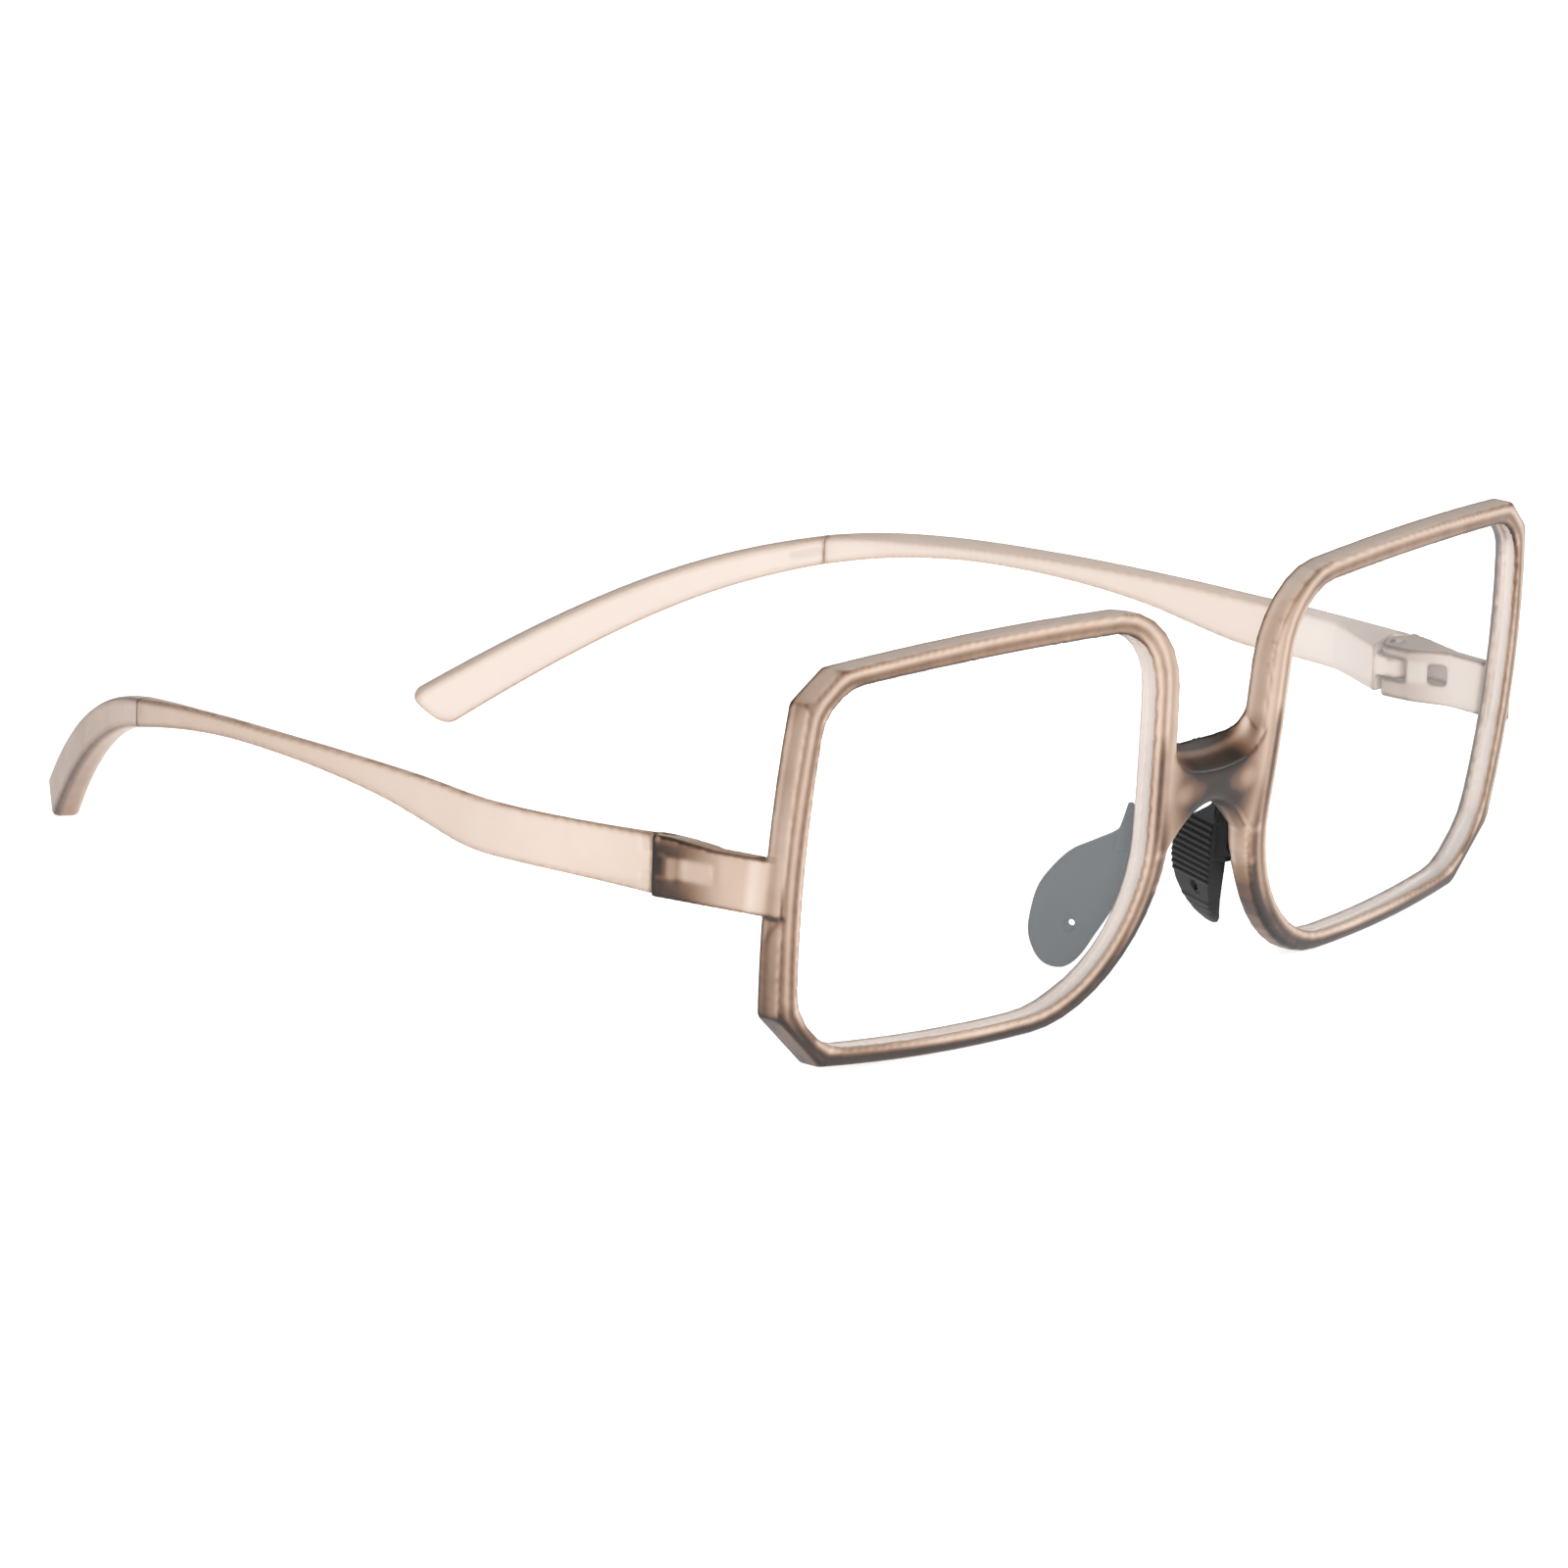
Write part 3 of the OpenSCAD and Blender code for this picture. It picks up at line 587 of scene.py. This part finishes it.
# Tones of the arms: painted shade outside towards the back and underneath, painted light inside
ARM_EVEN = (2.2, 0.15)
ARM_OUTSIDE = (1, ("outward", 0.0, 0.5))
ARM_SHADE_TO_BACK = (1.4, ("y", -48, 36))
TIP_SHADE_TO_BACK = (1.5, ("y", 38, 60))
ARM_INSIDE = (1, ("inward", 0.1, 0.5))
ARM_LIGHT = 0.8
ARM_LIGHT_TO_BACK = (0.6, ("y", 0, 60))
ARM_UNDERSIDE_SHADE = (1.2, ("down", 0.3, 0.9))


def side_arch(s):
    middle = ARCH_BEHIND - ARCH_SWING * share(s.z, *ARCH_TURN) ** 2
    return tone(s, *ARCH) * hump(s.behind, middle, ARCH_HALF)


def rim_bands(s):
    """The bands of the rims' outer faces and of their back edge, with painted shade under the rims, along their back
    edge, on their sides and low on their front.
    """
    under = tone(s, *UNDERSIDE_SHADE) * (1 - tone(s, *NOSE_ARCH))
    lines = tone(s, 1, FACING) * humps(s.across, FRONT_LINES)
    return under + tone(s, *SIDE_SHADE_BAND) + side_arch(s) + lines + tone(s, *LOW_FRONT_SHADE) + tone(s, *BACK_EDGE_SHADE)


def nose_shades(s):
    pad = tone(s, *PAD_SHADE) * hump(s.across, *PAD_SHADE_LINE)
    root = tone(s, *ROOT_SHADE) * hump(s.across, *ROOT_SHADE_LINE)
    # Painted light on the walls beside the nose is taken off
    return pad + root - tone(s, *NOSE_WALL_LIGHT)


def lens_wall_light(s):
    """How much painted light the walls round the lens and the groove get."""
    return tone(s, *WALL) * (WALL_LIGHT - humps(s.behind, WALL_LINES)) + tone(s, *GROOVE_LIGHT)


def bridge_shade(s):
    off_glint = np.hypot((s.x - GLINT_X) / GLINT_HALF_X, (s.z - GLINT_Z) / GLINT_HALF_Z)
    dark = tone(s, *BRIDGE) * (tone(s, *BRIDGE_FRONT) + tone(s, *BRIDGE_TOP))
    # The painted highlight makes the bridge paler on each side
    return dark - tone(s, *BRIDGE_GLINT) * hump(off_glint, 0, 1)


def endpiece_looks(s):
    plate = np.maximum(s.depth, PLATE_LEAST) + PLATE_MORE
    plate = np.where(s.up_or_down > PLATE_EDGE, np.minimum(plate, PLATE_MOST), plate)
    # Painted light on the endpiece's inner faces
    return (plate + tone(s, *KNUCKLE)) * (1 - tone(s, *PLATE_INSIDE_LIGHT))


def frame_looks(s):
    """How deep the front's plastic looks at each point, painted shade and painted light included."""
    s.find_lens()
    rim = tone(s, *RIM_ONLY) * (rim_bands(s) + nose_shades(s) - lens_wall_light(s))
    front = RIM_DENSITY * evened(s.depth, *RIM_EVEN) + rim + bridge_shade(s)
    endpiece = tone(s, *ENDPIECE)
    return front * (1 - endpiece) + endpiece_looks(s) * endpiece


def arm_looks(s):
    """How deep an arm's plastic looks at each point, painted shade and painted light included."""
    # Painted shade on the outer faces towards the back and underneath, painted light on the inner faces
    darker = (tone(s, *ARM_SHADE_TO_BACK) + tone(s, *TIP_SHADE_TO_BACK)) * tone(s, *ARM_OUTSIDE)
    paler = (ARM_LIGHT + tone(s, *ARM_LIGHT_TO_BACK)) * tone(s, *ARM_INSIDE)
    return evened(s.depth, *ARM_EVEN) + darker + tone(s, *ARM_UNDERSIDE_SHADE) - paler


# Pieces

MOULD_VOXEL = 0.2
MOULD_SMOOTHINGS = 6
PAD_VOXEL = 0.12
PAD_SMOOTHINGS = 7

# The left pad's hole: its centre and direction, and the radii and reach along it of the narrow step inside
HOLE_AT = Vector((11.4, -68.31, 9.88))
HOLE_AXIS = Vector((0.911, -0.406, -0.07)).normalized()
STEP_INNER, STEP_OUTER = 0.42, 1.1
STEP_FROM, STEP_TO = 0.8, 1.35
STEP_SIDES = 32

# The left pad's tail along the back of the rim: middle of each ring, and its half widths
TAIL = [
    ((9.9, -74.3, 19.5), (1.6, 1.2)),
    ((10.0, -74.9, 21.8), (1.4, 1.0)),
    ((10.3, -75.5, 23.8), (1.0, 0.7)),
    ((10.6, -75.9, 25.9), (0.4, 0.35))]
TAIL_SIDES = 24

# A pad's end is left as it is from END_NONE over its lowest point upwards, and rounded in full below END_FULL
END_BLUR = 120
END_NONE = 5.0
END_FULL = 2.0


def add_faces(mesh, points, faces, mirror):
    """Adds faces to a mesh, mirrored for the right side."""
    made = bmesh.new()
    made.from_mesh(mesh)
    corners = [made.verts.new((mirror * x, y, z)) for x, y, z in points]
    for face in faces:
        made.faces.new([corners[i] for i in face[::mirror]])
    made.to_mesh(mesh)
    made.free()


def turns(count):
    return [2 * math.pi * i / count for i in range(count)]


def hole_step(mesh, mirror):
    """Adds the ring that narrows a pad's hole halfway through."""
    turn = HOLE_AXIS.to_track_quat("Z", "Y")
    profile = [(STEP_INNER, STEP_FROM), (STEP_OUTER, STEP_FROM), (STEP_OUTER, STEP_TO), (STEP_INNER, STEP_TO)]
    points = [
        HOLE_AT + turn @ Vector((r * math.cos(a), r * math.sin(a), h)) for a in turns(STEP_SIDES) for r, h in profile]
    count = len(profile)
    faces = []
    for i in range(STEP_SIDES):
        row, after = i * count, (i + 1) % STEP_SIDES * count
        faces += [[row + k, after + k, after + (k + 1) % count, row + (k + 1) % count] for k in range(count)]
    add_faces(mesh, points, faces, mirror)


def pad_tail(mesh, mirror):
    """Adds the tail that runs up from a pad behind the rim."""
    points = [
        (x + wide * math.cos(a), y + deep * math.sin(a), z)
        for (x, y, z), (wide, deep) in TAIL for a in turns(TAIL_SIDES)]
    last = len(points) - TAIL_SIDES
    faces = [list(range(TAIL_SIDES))[::-1], list(range(last, len(points)))]
    for low in range(0, last, TAIL_SIDES):
        high = low + TAIL_SIDES
        for i in range(TAIL_SIDES):
            after = (i + 1) % TAIL_SIDES
            faces.append([low + i, low + after, high + after, high + i])
    add_faces(mesh, points, faces, mirror)


def round_end(mesh):
    """Rounds a pad's lower end, where its ribs run out."""
    points = mesh_points(mesh)
    height = points[:, 2] - points[:, 2].min()
    part = share(height, END_NONE, END_FULL)[:, None]
    rounded = points + (blurred(points, mesh_edges(mesh), END_BLUR) - points) * part
    mesh.vertices.foreach_set("co", rounded.astype(np.float32).ravel())


def finish_piece(piece, body, material, node):
    """Brings a piece back to metres, dresses it and puts it in its node's place."""
    piece.data.transform(Matrix.Scale(MM, 4))
    piece.data.materials.append(material)
    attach(piece, body)
    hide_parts(node)


def moulding(node, name, body, material, looks):
    """The node's shape with the small rounded edges and blends of a moulding."""
    piece = remeshed(node, name, MOULD_VOXEL, MOULD_SMOOTHINGS)
    surface = Surface(piece.data, PLASTIC)
    # The stored depth is the plastic's length with painted shade and painted light added; the crease marks where
    # painted shade goes along the edges
    store(piece.data, "depth", blurred(looks(surface)[:, None], surface.ends, DEPTH_BLUR))
    store(piece.data, "crease", blurred(surface.crease(), surface.ends, CREASE_BLUR))
    finish_piece(piece, body, material, node)


def rubber_pad(side, material):
    """A nose pad with its ribs and edges rounded, a step in its hole and its tail."""

    def add_details(mesh):
        hole_step(mesh, MIRROR[side])
        pad_tail(mesh, MIRROR[side])

    piece = remeshed("nose_pad_" + side, "rubber_pad_" + side, PAD_VOXEL, PAD_SMOOTHINGS, add_details)
    round_end(piece.data)
    finish_piece(piece, "front", material, "nose_pad_" + side)


def dress_node(node, material):
    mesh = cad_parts[node].data
    mesh.materials.clear()
    mesh.materials.append(material)


# The glasses

PLASTIC = solid_tree(SOLID_NODES)
LENSES = Lenses()

frame_nylon = nylon("frame_nylon", FRAME_DENSITY)
arm_nylon = nylon("arm_nylon", ARM_DENSITY)
lens_clear = clear_lens()
rubber = pad_rubber()
steel = pin_steel()

photo_camera()
studio()
moulding("front_frame", "front_moulding", "front", frame_nylon, frame_looks)
for side in MIRROR:
    moulding("temple_" + side, "arm_moulding_" + side, "arm_" + side, arm_nylon, arm_looks)
    moulding("temple_tip_" + side, "tip_moulding_" + side, "arm_" + side, arm_nylon, arm_looks)
    rubber_pad(side, rubber)
    dress_node("lens_" + side, lens_clear)
    dress_node("hinge_pin_" + side, steel)
